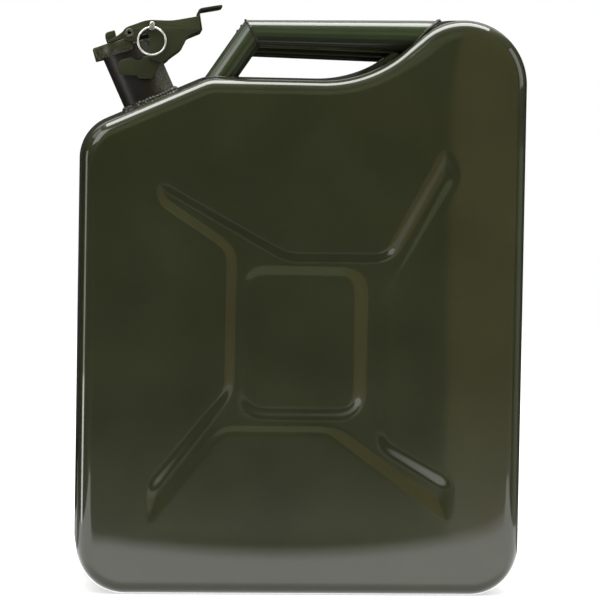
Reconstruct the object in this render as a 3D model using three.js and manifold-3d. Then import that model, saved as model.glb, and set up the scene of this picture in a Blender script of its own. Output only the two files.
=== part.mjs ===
// Twenty-litre pressed-steel jerry can with three tubular handles, a leaning
// spout and a flip-over lid worked by a cheek lever. Millimetres, +Z up,
// origin under the middle of the can, spout towards -X, handles along X.
import * as THREE from 'three';
import { mergeVertices } from 'three/addons/utils/BufferGeometryUtils.js';
import Module from 'manifold-3d';

const wasm = await Module();
wasm.setup();

// ---- driving dimensions -------------------------------------------------
const RAD = Math.PI / 180;
const GAP = 0.3;               // clearance kept between neighbouring pieces
const ROUND_SIDES = 32;        // facets of the spout and lid rounds
const FAR_OUT = 60;            // reach of trimming solids, past any piece they trim

const WIDTH = 350;             // over the centre seam
const DEPTH = 165;             // over the two pressed faces
const FLOOR_Z = 405;           // recess floor under the handles
const HUMP_TOP_Z = 454;        // top of the air hump behind the handles
const BASE_R = 40;             // lower corners
const HUMP_R = 52;             // hump and upper right corner
const HUMP_RISE = 42;          // slope of the hump wall, degrees
const VALLEY_R = 95;           // sweep from recess floor to hump wall
const VALLEY_X = 12;           // where that sweep leaves the floor
const SHOULDER_X = -76;        // where the floor breaks into the shoulder
const SHOULDER_BREAK_R = 30;
const SHOULDER_SLOPE = 24;     // degrees
const SHOULDER_R = 35;

const WALL = 1;                // sheet steel
const RIM_R = 12;              // round between side wall and face
const RIM_STEPS = 4;
const DRAFT = Math.tan(2 * RAD);
const SEAM_HALF = 0.9;         // each shell stops this far from the middle
const CHANNEL_HALF = 6;        // half width of the recessed seam channel
const CHANNEL_DEPTH = 5;
const BEAD_TOP = 4.2;          // seam bead, measured inwards from the outline
const BEAD_FOOT = 7.2;
const BEAD_HALF = 0.6;

const PRESS_DEPTH = 3.5;       // stiffening cross in each face
const PRESS_RUN = 5.5;         // width of its sloping walls
const CROSS_CORNER_R = 4.5;
const PANEL_CORNER_R = 14;

const TUBE_R = 10.3;           // handle tubes
const TUBE_FLARE_R = 13.2;     // grip radius at the end buried in the hump
const TUBE_WALL = 1.3;
const TUBE_SIDES = 20;
const HANDLE_PITCH = 59;
const GRIP_LENGTH = 145;
const LEG_LENGTH = 75;
const GRIP_Z = 436;
const ELBOW_X = -42;
const ELBOW_OVERRUN = 12;      // both tubes run past the elbow before the mitre cut
const LEG_LEAN = 56;           // leg angle above the horizontal, degrees

const NECK_TILT = 24.5;
const NECK_FOOT_X = -119.5;
const NECK_R = 21.5;
const NECK_BORE_R = 19.7;
const NECK_BELOW = 9;          // reach of the spout inside the can
const RING_FOOT = -3;          // seat ring round the mouth, heights in the lid's frame
const RING_TOP = -1;
const BRACKET_OUT = 24;        // outer face of the hinge ears
const AIR_TUBE_R = 4.5;
const AIR_TUBE_BORE_R = 3.3;

const LID_TILT = 17;
const MOUTH = new THREE.Vector3(-140.3, 0, 430);
const LID_R = 24;
const LID_BORE_R = 23.2;
const LID_TOP = 2.7;           // heights in the lid's own frame
const LID_ROOF = 1.5;
const SKIRT_FOOT = -7.7;
const SKIRT_REAR_X = 6;        // the skirt is open behind this
const LIP_REACH = 26.2;        // front lip, from the lid centre
const LIP_HALF = 11;
const ARM_IN = 12.5;           // hinge arms on the lid, distances from the middle
const ARM_OUT = 16;
const RIVET_X = -1.5;
const RIVET_R = 2.5;
const EAR_IN = 20.9;           // ears of the strap on the lid
const EAR_OUT = 22.9;
const SADDLE_SHEET = 1.3;
const SADDLE_TRIM_R = 23.3;
const ROLL = new THREE.Vector3(-9.3, 0, 7.6);
const ROLL_R = 4.3;

const HINGE = new THREE.Vector3(-108, 0, 421);
const HINGE_PIN_R = 1.75;
const PIVOT = new THREE.Vector3(-137, 0, 436.6);
const PIVOT_R = 2.2;
const PIVOT_BORE_R = 1.4;
const FLANGE_R = 3.5;
const FLANGE_FROM = 26.8;      // flared ends of the pivot, and the safety pin's shoulder
const FLANGE_TO = 27.6;
const LOCK = new THREE.Vector3(-119.4, 0, 443.6);
const LOCK_PIN_R = 1.3;
const LOCK_EYE_R = 1.3;
const EYE = new THREE.Vector3(LOCK.x, 0, LOCK.z - 2.2);
const EYE_LUG_HALF = 2.4;      // lug under the pin's head that the ring hangs in
const CHEEK_IN = 24.4;
const CHEEK_OUT = 26.4;
const TAB_HALF = 19;
const RING_R = 10.9;
const RING_WIRE_R = 0.8;
const RING_Y = -29;

// ---- materials ----------------------------------------------------------
const paint = (color, roughness) => new THREE.MeshStandardMaterial({ color, roughness, metalness: 0.1 });
const bare = (color, roughness) => new THREE.MeshStandardMaterial({ color, roughness, metalness: 1 });
const OLIVE = 0x2c2e1e;
const OLIVE_LIGHT = 0x3b3b2b;
const BROWN_BLACK = 0x2a291b;
const STEEL = 0xc4c4bf;
const BLACK_RUBBER = 0x151514;

const can = new THREE.Group();

function piece(parent, name, geometry, material) {
  const mesh = new THREE.Mesh(geometry, material);
  mesh.name = name;
  parent.add(mesh);
  return mesh;
}

// ---- solids -------------------------------------------------------------
function solid(geometry) {
  const bareGeometry = geometry.clone();
  bareGeometry.deleteAttribute('normal');
  bareGeometry.deleteAttribute('uv');
  const merged = mergeVertices(bareGeometry, 1e-4);
  return new wasm.Manifold(new wasm.Mesh({
    numProp: 3,
    vertProperties: new Float32Array(merged.attributes.position.array),
    triVerts: new Uint32Array(merged.index.array),
  }));
}

function geometryOf(body) {
  const { vertProperties, triVerts } = body.getMesh();
  const geometry = new THREE.BufferGeometry();
  geometry.setAttribute('position', new THREE.BufferAttribute(vertProperties, 3));
  geometry.setIndex(new THREE.BufferAttribute(triVerts, 1));
  geometry.computeVertexNormals();
  return geometry;
}

// A solid turned over to the far side of the can.
function farSide(body) {
  const { vertProperties, triVerts } = body.getMesh();
  const flipped = Float32Array.from(vertProperties, (value, i) => (i % 3 === 1 ? -value : value));
  const turned = Uint32Array.from(triVerts, (_, i) => triVerts[i - (i % 3) + 2 - (i % 3)]);
  return new wasm.Manifold(new wasm.Mesh({ numProp: 3, vertProperties: flipped, triVerts: turned }));
}

// Closed ring or disc of revolution: points are [radius, height] pairs.
function turned(points, segments) {
  const closed = points[0][0] > 0 ? [...points, points[0]] : points;
  const profile = closed.map(([r, z]) => new THREE.Vector2(r, z));
  return new THREE.LatheGeometry(profile, segments).rotateX(Math.PI / 2);
}

// Solid round bar along Y between two depths, centred on a point.
function barY(radius, from, to, centre, segments = 20) {
  return new THREE.CylinderGeometry(radius, radius, to - from, segments)
    .translate(centre.x, (from + to) / 2, centre.z);
}

// Solid round bar along Z between two heights.
function barZ(radius, from, to, segments = 20) {
  return new THREE.CylinderGeometry(radius, radius, to - from, segments)
    .rotateX(Math.PI / 2)
    .translate(0, 0, (from + to) / 2);
}

// Plate cut from an outline in the XZ plane, between two depths.
function plateY(shape, from, to, curveSegments = 3) {
  return new THREE.ExtrudeGeometry(shape, { depth: to - from, bevelEnabled: false, curveSegments })
    .rotateX(Math.PI / 2)
    .translate(0, to, 0);
}

function blockFromTo(low, high) {
  const size = high.map((value, i) => value - low[i]);
  const middle = high.map((value, i) => (value + low[i]) / 2);
  return new THREE.BoxGeometry(...size).translate(...middle);
}

// Outline whose corners are rounded; each corner is [x, z, radius].
function roundedShape(corners) {
  const shape = new THREE.Shape();
  corners.forEach(([x, z, radius], i) => {
    const corner = new THREE.Vector2(x, z);
    const before = new THREE.Vector2(...corners.at(i - 1));
    const after = new THREE.Vector2(...corners[(i + 1) % corners.length]);
    const start = corner.clone().add(before.sub(corner).setLength(radius));
    const end = corner.clone().add(after.sub(corner).setLength(radius));
    if (i === 0) shape.moveTo(start.x, start.y);
    else shape.lineTo(start.x, start.y);
    shape.quadraticCurveTo(x, z, end.x, end.y);
  });
  return shape;
}

// ---- body outline -------------------------------------------------------
const shoulderAngle = SHOULDER_SLOPE * RAD;
const shoulderLean = new THREE.Vector2(-Math.sin(shoulderAngle), Math.cos(shoulderAngle));
const shoulderZ = (x) => FLOOR_Z - Math.tan(shoulderAngle) * (SHOULDER_X - x);
const shoulderArcX = -WIDTH / 2 + SHOULDER_R;
const shoulderArcZ = (shoulderLean.dot(new THREE.Vector2(SHOULDER_X, FLOOR_Z)) - SHOULDER_R
  - shoulderLean.x * shoulderArcX) / shoulderLean.y;

// Arcs in order, counter-clockwise seen from -Y: centre, radius, angles, steps.
// side is +1 where the outline bulges out and -1 in the valley.
const OUTLINE_ARCS = [
  { x: WIDTH / 2 - BASE_R, z: BASE_R, r: BASE_R, from: -90, to: 0, steps: 6, side: 1 },
  { x: WIDTH / 2 - HUMP_R, z: HUMP_TOP_Z - HUMP_R, r: HUMP_R,
    from: 0, to: 90 + HUMP_RISE, steps: 11, side: 1 },
  { x: VALLEY_X, z: FLOOR_Z + VALLEY_R, r: VALLEY_R, from: HUMP_RISE - 90, to: -90, steps: 5, side: -1 },
  { x: SHOULDER_X + SHOULDER_BREAK_R * Math.tan(shoulderAngle / 2), z: FLOOR_Z - SHOULDER_BREAK_R,
    r: SHOULDER_BREAK_R, from: 90, to: 90 + SHOULDER_SLOPE, steps: 3, side: 1 },
  { x: shoulderArcX, z: shoulderArcZ, r: SHOULDER_R, from: 90 + SHOULDER_SLOPE, to: 180, steps: 5, side: 1 },
  { x: BASE_R - WIDTH / 2, z: BASE_R, r: BASE_R, from: 180, to: 270, steps: 6, side: 1 },
];

// The outline moved inwards by inset and lowered by drop.
function bodyOutline(inset, drop = 0) {
  return OUTLINE_ARCS.flatMap(({ x, z, r, from, to, steps, side }) => {
    const radius = r - side * inset;
    return Array.from({ length: steps + 1 }, (_, i) => {
      const angle = (from + (to - from) * i / steps) * RAD;
      return new THREE.Vector2(x + radius * Math.cos(angle), z - drop + radius * Math.sin(angle));
    });
  });
}

// ---- shells -------------------------------------------------------------
// Stations of one half from the seam outwards: depth, inset, drop. The inset
// grows with the draft; the drop keeps the underside level at z = 0.
function stations(thickness, seamY, channelDepth) {
  const list = [
    [seamY, channelDepth + thickness],
    [CHANNEL_HALF - 2.8 + thickness * 0.5, channelDepth + thickness],
    [CHANNEL_HALF - 0.6 + thickness * 0.7, channelDepth * 0.3 + thickness * 0.7],
    [CHANNEL_HALF + 1.6 + thickness * 0.3, thickness],
  ].map(([y, inset]) => ({ y, inset, drop: 0 }));
  const rimY = DEPTH / 2 - RIM_R;
  const draftDrop = DRAFT * (rimY - CHANNEL_HALF);
  const radius = RIM_R - thickness;
  for (let i = 0; i <= RIM_STEPS; i += 1) {
    const angle = i * 90 / RIM_STEPS * RAD;
    list.push({
      y: rimY + radius * Math.sin(angle),
      inset: draftDrop + thickness + radius * (1 - Math.cos(angle)),
      drop: draftDrop,
    });
  }
  return list;
}

// Closed near-side tray through all stations.
function tray(thickness, seamY, channelDepth) {
  const rings = stations(thickness, seamY, channelDepth)
    .map(({ y, inset, drop }) => ({ y: -y, outline: bodyOutline(inset, drop) }));
  const count = rings[0].outline.length;
  const positions = rings.flatMap(({ y, outline }) => outline.flatMap((p) => [p.x, y, p.y]));
  const index = [];
  for (let ring = 0; ring < rings.length - 1; ring += 1) {
    for (let i = 0; i < count; i += 1) {
      const a = ring * count + i;
      const b = ring * count + (i + 1) % count;
      index.push(a, b, b + count, a, b + count, a + count);
    }
  }
  const last = (rings.length - 1) * count;
  const cap = (ring) => THREE.ShapeUtils.triangulateShape(ring.outline, []);
  cap(rings[0]).forEach(([a, b, c]) => index.push(a, c, b));
  cap(rings.at(-1)).forEach(([a, b, c]) => index.push(last + a, last + b, last + c));
  const geometry = new THREE.BufferGeometry();
  geometry.setAttribute('position', new THREE.Float32BufferAttribute(positions, 3));
  geometry.setIndex(index);
  return solid(geometry);
}

// Stiffening pressing: four arms and a ring round a raised centre panel,
// as the edges where its sloping walls leave the face, counter-clockwise.
const CROSS = [
  [-117, 303], [-61, 266], [-61, 160], [-121, 84], [-118, 52], [-63, 129], [18, 129], [116, 58],
  [120, 90], [66, 121], [66, 229], [121, 329], [108, 350], [63, 268], [-12, 267], [-115, 324],
];
const CENTRE_PANEL = [[-45, 145], [43, 145], [43, 252], [-45, 252]];

// Counter-clockwise corners moved inwards by a distance, edge by edge.
function movedIn(corners, distance) {
  return corners.map(([x, z], i) => {
    const [x0, z0] = corners.at(i - 1);
    const [x1, z1] = corners[(i + 1) % corners.length];
    const into = new THREE.Vector2(x - x0, z - z0).normalize();
    const out = new THREE.Vector2(x1 - x, z1 - z).normalize();
    const normals = [into, out].map((edge) => new THREE.Vector2(-edge.y, edge.x));
    const bisector = normals[0].clone().add(normals[1]).normalize();
    const reach = distance / bisector.dot(normals[0]);
    return [x + bisector.x * reach, z + bisector.y * reach];
  });
}

function pressing(spread, faceDepth) {
  const rounded = (corners, radius) => roundedShape(corners.map(([x, z]) => [x, z, radius]));
  const shape = rounded(movedIn(CROSS, PRESS_RUN), CROSS_CORNER_R);
  shape.holes.push(rounded(movedIn(CENTRE_PANEL, -PRESS_RUN), PANEL_CORNER_R));
  const geometry = new THREE.ExtrudeGeometry(shape, {
    depth: 2,
    bevelThickness: PRESS_DEPTH,
    bevelSize: PRESS_RUN,
    bevelOffset: spread,
    bevelSegments: 1,
    curveSegments: 3,
  });
  return solid(geometry.rotateX(Math.PI / 2).translate(0, -faceDepth, 0));
}

// ---- spout frame --------------------------------------------------------
const neckFrame = new THREE.Object3D();
neckFrame.position.set(NECK_FOOT_X, 0, shoulderZ(NECK_FOOT_X));
neckFrame.rotation.y = -NECK_TILT * RAD;
neckFrame.updateMatrixWorld();

const lidFrame = new THREE.Object3D();
lidFrame.position.copy(MOUTH);
lidFrame.rotation.y = -LID_TILT * RAD;
lidFrame.updateMatrixWorld();

const inNeck = (geometry) => geometry.applyMatrix4(neckFrame.matrixWorld);
const inLid = (geometry) => geometry.applyMatrix4(lidFrame.matrixWorld);
const neckHole = solid(inNeck(barZ(NECK_R + GAP, -FAR_OUT, FAR_OUT, ROUND_SIDES)));

// ---- body pieces --------------------------------------------------------
function buildShells() {
  const outer = tray(0, SEAM_HALF, CHANNEL_DEPTH).subtract(pressing(0, DEPTH / 2));
  const inner = tray(WALL, -1, CHANNEL_DEPTH).subtract(pressing(WALL * 0.7, DEPTH / 2 - WALL));
  const shell = outer.subtract(inner).subtract(neckHole);
  piece(can, 'near_shell', geometryOf(shell), paint(OLIVE, 0.35));
  piece(can, 'far_shell', geometryOf(farSide(shell)), paint(OLIVE, 0.35));
}

function buildSeam() {
  const shape = new THREE.Shape(bodyOutline(BEAD_TOP));
  shape.holes.push(new THREE.Path(bodyOutline(BEAD_FOOT)));
  const bead = solid(plateY(shape, -BEAD_HALF, BEAD_HALF)).subtract(neckHole);
  piece(can, 'seam_weld', geometryOf(bead), paint(OLIVE, 0.4));
}

// The body grown by the clearance, used to trim whatever stands on it.
const nearEnvelope = tray(-GAP, -1, BEAD_TOP - 1);
const envelope = nearEnvelope.add(farSide(nearEnvelope));

// Each handle is a level grip and a leaning leg, cut to a mitre at the elbow.
function buildHandles() {
  const lean = LEG_LEAN * RAD;
  const tube = (endR, length) => turned([
    [TUBE_R - TUBE_WALL, 0], [TUBE_R, 0], [endR, length], [endR - TUBE_WALL, length],
  ], TUBE_SIDES);
  const grip = tube(TUBE_FLARE_R, GRIP_LENGTH)
    .rotateY(Math.PI / 2)
    .translate(ELBOW_X - ELBOW_OVERRUN, 0, GRIP_Z);
  const leg = tube(TUBE_R, LEG_LENGTH)
    .translate(0, 0, ELBOW_OVERRUN - LEG_LENGTH)
    .rotateY(Math.PI / 2 - lean)
    .translate(ELBOW_X, 0, GRIP_Z);
  const pastMitre = (side) => solid(
    new THREE.BoxGeometry(2 * FAR_OUT, FAR_OUT, 2 * FAR_OUT)
      .translate(side * (FAR_OUT - GAP / 2), 0, 0)
      .rotateY(-lean / 2)
      .translate(ELBOW_X, 0, GRIP_Z));
  const gripSolid = solid(grip).subtract(pastMitre(-1));
  const legSolid = solid(leg).subtract(pastMitre(1));
  const places = { near: -HANDLE_PITCH, centre: 0, far: HANDLE_PITCH };
  for (const [place, y] of Object.entries(places)) {
    const standing = (body) => geometryOf(body.translate([0, y, 0]).subtract(envelope));
    piece(can, `handle_leg_${place}`, standing(legSolid), paint(OLIVE_LIGHT, 0.35));
    piece(can, `handle_grip_${place}`, standing(gripSolid), paint(OLIVE_LIGHT, 0.35));
  }
}

// ---- spout --------------------------------------------------------------
function buildSpout() {
  const tube = turned([
    [NECK_BORE_R, -NECK_BELOW], [NECK_R, -NECK_BELOW], [NECK_R, FAR_OUT], [NECK_BORE_R, FAR_OUT],
  ], ROUND_SIDES);
  const aboveMouth = inLid(blockFromTo([-FAR_OUT, -FAR_OUT, RING_FOOT - GAP], [FAR_OUT, FAR_OUT, FAR_OUT]));
  const neck = solid(inNeck(tube)).subtract(solid(aboveMouth));
  piece(can, 'neck_tube', geometryOf(neck), paint(BROWN_BLACK, 0.45));

  const rim = turned([
    [19.4, RING_FOOT], [21.1, RING_FOOT], [21.1, -1.6], [20.6, RING_TOP], [20, RING_TOP], [19.4, -1.6],
  ], ROUND_SIDES);
  piece(can, 'mouth_ring', inLid(rim), bare(STEEL, 0.4));

  const weld = turned([
    [NECK_R + GAP, -3.4], [25.6, -3.4], [25.6, -1], [NECK_R + GAP, 3.2],
  ], ROUND_SIDES);
  piece(can, 'neck_base_weld', geometryOf(solid(inNeck(weld)).subtract(envelope)), paint(OLIVE, 0.6));
}

// Vent from inside the spout, under the recess floor, up into the hump.
function buildAirTube() {
  const inSpout = (across, along) => new THREE.Vector3(across, 0, along).applyMatrix4(neckFrame.matrixWorld);
  const inCan = (x, z) => new THREE.Vector3(x, 0, z);
  const route = new THREE.CatmullRomCurve3([
    inSpout(12.4, 38), inSpout(12.4, 14), inSpout(12.6, -11),
    inCan(-86, 378), inCan(-50, 386), inCan(10, 389), inCan(62, 400), inCan(98, 423), inCan(116, 440),
  ]);
  const section = new THREE.Shape().absarc(0, 0, AIR_TUBE_R, 0, 2 * Math.PI);
  section.holes.push(new THREE.Path().absarc(0, 0, AIR_TUBE_BORE_R, 0, 2 * Math.PI, true));
  const tube = new THREE.ExtrudeGeometry(section, { extrudePath: route, steps: 24, curveSegments: 4 });
  piece(can, 'air_tube', tube, bare(STEEL, 0.5));
}

// Two ears welded to the spout's sides, with the lid's hinge pin between them.
function buildHinge() {
  const ear = roundedShape([
    [-146, 403.6, 4], [-130.5, 403.2, 0.8], [-129.5, 400.8, 0.8], [-118.4, 401, 1], [-116.5, 405, 1],
    [-112, 414.5, 3], [-104.5, 417.5, 3], [-104, 425.2, 3.4], [-112, 425.6, 3.4], [-116, 419, 2],
    [-125.2, 418.8, 0.6], [-127.6, 415.4, 2], [-132.2, 415.2, 2], [-134.8, 418.2, 0.6], [-146, 414.6, 4],
  ]);
  const pinHole = solid(barY(HINGE_PIN_R + GAP, -FAR_OUT, FAR_OUT, HINGE));
  const plate = solid(plateY(ear, -BRACKET_OUT, -NECK_R - GAP)).subtract(pinHole);
  piece(can, 'neck_bracket_near', geometryOf(plate), paint(OLIVE_LIGHT, 0.5));
  piece(can, 'neck_bracket_far', geometryOf(farSide(plate)), paint(OLIVE_LIGHT, 0.5));
  piece(can, 'lid_hinge_pin', barY(HINGE_PIN_R, -BRACKET_OUT, BRACKET_OUT, HINGE), bare(STEEL, 0.35));
}

// ---- lid, in its own frame ----------------------------------------------
const hingeInLid = lidFrame.worldToLocal(HINGE.clone());
const pivotInLid = lidFrame.worldToLocal(PIVOT.clone());
const rivetHole = solid(barZ(RIVET_R + GAP, -FAR_OUT, FAR_OUT).translate(RIVET_X, 0, 0));

// Upright slab with the front lip's outline, drawn in from it by inset.
function lipSlab(inset, foot, top) {
  const reach = inset - LIP_REACH;
  const half = LIP_HALF - inset;
  const shape = roundedShape([[reach, -half, 4], [0, -half, 1], [0, half, 1], [reach, half, 4]]);
  const slab = new THREE.ExtrudeGeometry(shape, { depth: top - foot, bevelEnabled: false, curveSegments: 4 });
  return solid(slab.translate(0, 0, foot));
}

function buildLid() {
  const below = SKIRT_FOOT - 2;
  const outer = solid(barZ(LID_R, SKIRT_FOOT, LID_TOP, ROUND_SIDES))
    .add(lipSlab(0, SKIRT_FOOT, LID_TOP));
  const hollow = solid(barZ(LID_BORE_R, below, LID_ROOF, ROUND_SIDES))
    .add(lipSlab(LID_TOP - LID_ROOF, below, LID_ROOF));
  const openRear = solid(blockFromTo([SKIRT_REAR_X, -FAR_OUT, below], [FAR_OUT, FAR_OUT, LID_ROOF]));
  const arm = roundedShape([
    [12, LID_ROOF, 0.2], [25.4, LID_ROOF, 0.6], [25.2, hingeInLid.z, 2.6], [27, hingeInLid.z - 3.6, 1.4],
    [31.8, hingeInLid.z - 2.6, 2.4], [31.8, hingeInLid.z + 6, 3], [30.4, LID_TOP, 4], [12, LID_TOP, 0.2],
  ]);
  const armPlate = solid(plateY(arm, -ARM_OUT, -ARM_IN));
  const lid = outer.subtract(hollow).subtract(openRear)
    .add(armPlate)
    .add(farSide(armPlate))
    .subtract(solid(barY(HINGE_PIN_R + GAP, -FAR_OUT, FAR_OUT, hingeInLid)))
    .subtract(rivetHole);
  piece(can, 'lid_cap', inLid(geometryOf(lid)), paint(OLIVE_LIGHT, 0.45));

  const seal = turned([[17.6, -0.7], [22.4, -0.7], [22.4, 1.2], [17.6, 1.2]], ROUND_SIDES);
  piece(can, 'lid_gasket', inLid(seal), paint(BLACK_RUBBER, 0.9));

  const dish = turned([[0, -1.6], [15, -1.6], [17.2, -0.2], [17.2, 1.2], [0, 1.2]], ROUND_SIDES);
  const retainer = solid(dish).subtract(rivetHole);
  piece(can, 'gasket_retainer', inLid(geometryOf(retainer)), bare(STEEL, 0.4));

  const rivet = turned([
    [0, -3.6], [3.2, -3.6], [4.6, -2.6], [4.6, -1.9], [RIVET_R, -1.9], [RIVET_R, 4.7], [0, 4.7],
  ], 20);
  piece(can, 'lid_rivet', inLid(rivet.translate(RIVET_X, 0, 0)), bare(STEEL, 0.4));
}

// Pressed strap riveted on the lid: a flat base, two ears for the pivot and a rolled front edge.
function buildSaddle() {
  const foot = LID_TOP + GAP;
  const base = solid(blockFromTo([-14, -EAR_OUT, foot], [1.8, EAR_OUT, foot + SADDLE_SHEET]));
  const ear = roundedShape([
    [-12, foot, 0.5], [9.5, foot, 2], [9.8, 8.4, 3], [4, 10.2, 3], [-3, 6.5, 3], [-12, 4.5, 0.5],
  ]);
  const earPlate = solid(plateY(ear, -EAR_OUT, -EAR_IN));
  const roll = turned([
    [0, -10.5], [3.2, -10.5], [ROLL_R, -9.4], [ROLL_R, 9.4], [3.2, 10.5], [0, 10.5],
  ], 20).rotateX(Math.PI / 2).translate(ROLL.x, 0, ROLL.z);
  const underFoot = solid(blockFromTo([-FAR_OUT, -FAR_OUT, -FAR_OUT], [FAR_OUT, FAR_OUT, foot]));
  const saddle = base.add(earPlate).add(farSide(earPlate))
    .intersect(solid(barZ(SADDLE_TRIM_R, -FAR_OUT, FAR_OUT, ROUND_SIDES)))
    .add(solid(roll).subtract(underFoot))
    .subtract(solid(barY(PIVOT_R + GAP, -FAR_OUT, FAR_OUT, pivotInLid, 24)))
    .subtract(rivetHole);
  piece(can, 'lid_saddle', inLid(geometryOf(saddle)), paint(OLIVE_LIGHT, 0.45));

  const pivot = turned([
    [PIVOT_BORE_R, -FLANGE_TO], [FLANGE_R, -FLANGE_TO], [FLANGE_R, -FLANGE_FROM], [PIVOT_R, -FLANGE_FROM],
    [PIVOT_R, FLANGE_FROM], [FLANGE_R, FLANGE_FROM], [FLANGE_R, FLANGE_TO], [PIVOT_BORE_R, FLANGE_TO],
  ], 24).rotateX(Math.PI / 2).translate(PIVOT.x, 0, PIVOT.z);
  piece(can, 'lever_pivot_pin', pivot, bare(STEEL, 0.35));
}

// ---- lever, safety pin and ring ----------------------------------------
// Two cheeks joined by an end wall that turns over into a thumb tab.
function buildLever() {
  const cheek = roundedShape([
    [-142.8, 433.4, 2.5], [-141.8, 440.4, 3.6], [-123.2, 447.4, 3], [-103.4, 447.2, 3], [-82, 451.4, 0.5],
    [-79.8, 440.4, 0.8], [-90.9, 435.6, 1.5], [-94.8, 426.5, 2], [-103.8, 419.8, 1.5], [-110.8, 413.2, 1.5],
    [-122.5, 417.8, 1.6], [-120.6, 424, 1.5], [-120.4, 431, 2], [-122.3, 436.6, 1.8], [-126.5, 436.2, 1.8],
    [-131.5, 430.2, 2.5], [-138.8, 430.3, 2.2],
  ]);
  const wallAndTab = roundedShape([
    [-79.5, 440.4, 0.4], [-81.7, 456.1, 1], [-63.2, 459.6, 0.8], [-63.6, 461.8, 0.8],
    [-83.8, 458, 1.6], [-81.6, 440.1, 0.4],
  ]);
  const besideTab = solid(blockFromTo([-80.6, -FAR_OUT, 452], [-50, -TAB_HALF, 470]));
  const plate = solid(plateY(cheek, -CHEEK_OUT, -CHEEK_IN));
  const lever = solid(plateY(wallAndTab, -CHEEK_OUT, CHEEK_OUT))
    .subtract(besideTab)
    .subtract(farSide(besideTab))
    .add(plate)
    .add(farSide(plate))
    .subtract(solid(barY(PIVOT_R + GAP, -FAR_OUT, FAR_OUT, PIVOT, 24)))
    .subtract(solid(barY(LOCK_PIN_R + GAP, -FAR_OUT, FAR_OUT, LOCK, 16)));
  piece(can, 'lever', geometryOf(lever), paint(OLIVE_LIGHT, 0.45));
}

function buildSafetyPin() {
  const shaft = turned([
    [0, -31.2], [2.1, -31.2], [2.9, -30.4], [2.9, -27.6], [2.1, -FLANGE_FROM],
    [LOCK_PIN_R, -FLANGE_FROM], [LOCK_PIN_R, 28.6], [0.6, 29.6], [0, 29.6],
  ], 16).rotateX(-Math.PI / 2).rotateZ(Math.PI).translate(LOCK.x, 0, LOCK.z);
  const lug = plateY(roundedShape([
    [-EYE_LUG_HALF, 2, 0.5], [-EYE_LUG_HALF, -EYE_LUG_HALF, 1.4],
    [EYE_LUG_HALF, -EYE_LUG_HALF, 1.4], [EYE_LUG_HALF, 2, 0.5],
  ]), -31, -FLANGE_FROM).translate(EYE.x, 0, EYE.z);
  const eye = new THREE.CylinderGeometry(LOCK_EYE_R, LOCK_EYE_R, 12, 14)
    .rotateZ(Math.PI / 2)
    .translate(EYE.x, RING_Y, EYE.z);
  const pin = solid(shaft).add(solid(lug)).subtract(solid(eye));
  piece(can, 'safety_pin', geometryOf(pin), bare(STEEL, 0.25));

  const ring = new THREE.TorusGeometry(RING_R, RING_WIRE_R, 6, ROUND_SIDES)
    .rotateX(Math.PI / 2)
    .translate(EYE.x, RING_Y, EYE.z - RING_R);
  piece(can, 'split_ring', ring, bare(STEEL, 0.25));
}

buildShells();
buildSeam();
buildHandles();
buildSpout();
buildAirTube();
buildHinge();
buildLid();
buildSaddle();
buildLever();
buildSafetyPin();

export default can;
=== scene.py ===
"""Looks of a twenty-litre pressed-steel jerry can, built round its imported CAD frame. Metres, +Z up."""

import math

import bmesh
import bpy
import numpy as np
from mathutils import Matrix, Vector
from mathutils.bvhtree import BVHTree


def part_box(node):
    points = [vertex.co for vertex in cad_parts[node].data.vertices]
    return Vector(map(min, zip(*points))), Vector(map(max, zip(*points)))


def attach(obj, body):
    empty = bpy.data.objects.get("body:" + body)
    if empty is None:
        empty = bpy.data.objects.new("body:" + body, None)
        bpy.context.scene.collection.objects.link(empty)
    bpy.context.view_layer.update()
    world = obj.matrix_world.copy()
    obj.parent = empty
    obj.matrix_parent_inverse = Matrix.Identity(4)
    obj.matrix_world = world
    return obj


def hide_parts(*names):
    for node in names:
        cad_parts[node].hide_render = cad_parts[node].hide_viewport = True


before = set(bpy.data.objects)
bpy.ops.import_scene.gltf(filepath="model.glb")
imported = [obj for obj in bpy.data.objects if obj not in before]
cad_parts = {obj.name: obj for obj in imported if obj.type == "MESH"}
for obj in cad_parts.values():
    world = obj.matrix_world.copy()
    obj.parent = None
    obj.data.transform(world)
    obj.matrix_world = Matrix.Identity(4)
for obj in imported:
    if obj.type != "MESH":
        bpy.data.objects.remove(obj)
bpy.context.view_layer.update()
MM = 0.001
rng = np.random.default_rng(20)

# ---- driving dimensions, in millimetres ----
shell_low, shell_high = (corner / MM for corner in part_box("near_shell"))
HALF_WIDTH = shell_high.x
FACE_Y = -shell_low.y
HUMP_TOP = shell_high.z
FLOOR_Z = 405.0
BASE_R = 40.0
HUMP_R = 52.0
HUMP_RISE = 42.0
VALLEY_R = 95.0
VALLEY_X = 12.0
SHOULDER_X = -76.0
SHOULDER_BREAK_R = 30.0
SHOULDER_SLOPE = 24.0
SHOULDER_R = 35.0
WALL = 1.0
RIM_R = 12.0
DRAFT = math.tan(math.radians(2))
SEAM_HALF = 0.9
CHANNEL_HALF = 6.0
CHANNEL_DEPTH = 5.0
CHANNEL_SIDE = 2.6
PRESS_DEPTH = 1.7
PRESS_RUN = 9.5
PRESS_SOFTNESS = 1.2

HINGE = Vector((-108, 0, 421))
PIVOT = Vector((-137, 0, 436.6))
LOCK = Vector((-119.4, 0, 443.6))
EYE = Vector((-119.4, 0, 441.4))
MOUTH = Vector((-140.3, 0, 430))
NECK_TILT = 24.5
NECK_FOOT_X = -119.5
NECK_R = 21.5
NECK_BORE_R = 19.7
LID_TILT = 17.0

TUBE_R = 10.3
GRIP_Z = 436.0
ELBOW_X = -42.0
LEG_LEAN = 56.0
HANDLE_Y = {"near": -59.0, "centre": 0.0, "far": 59.0}


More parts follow.
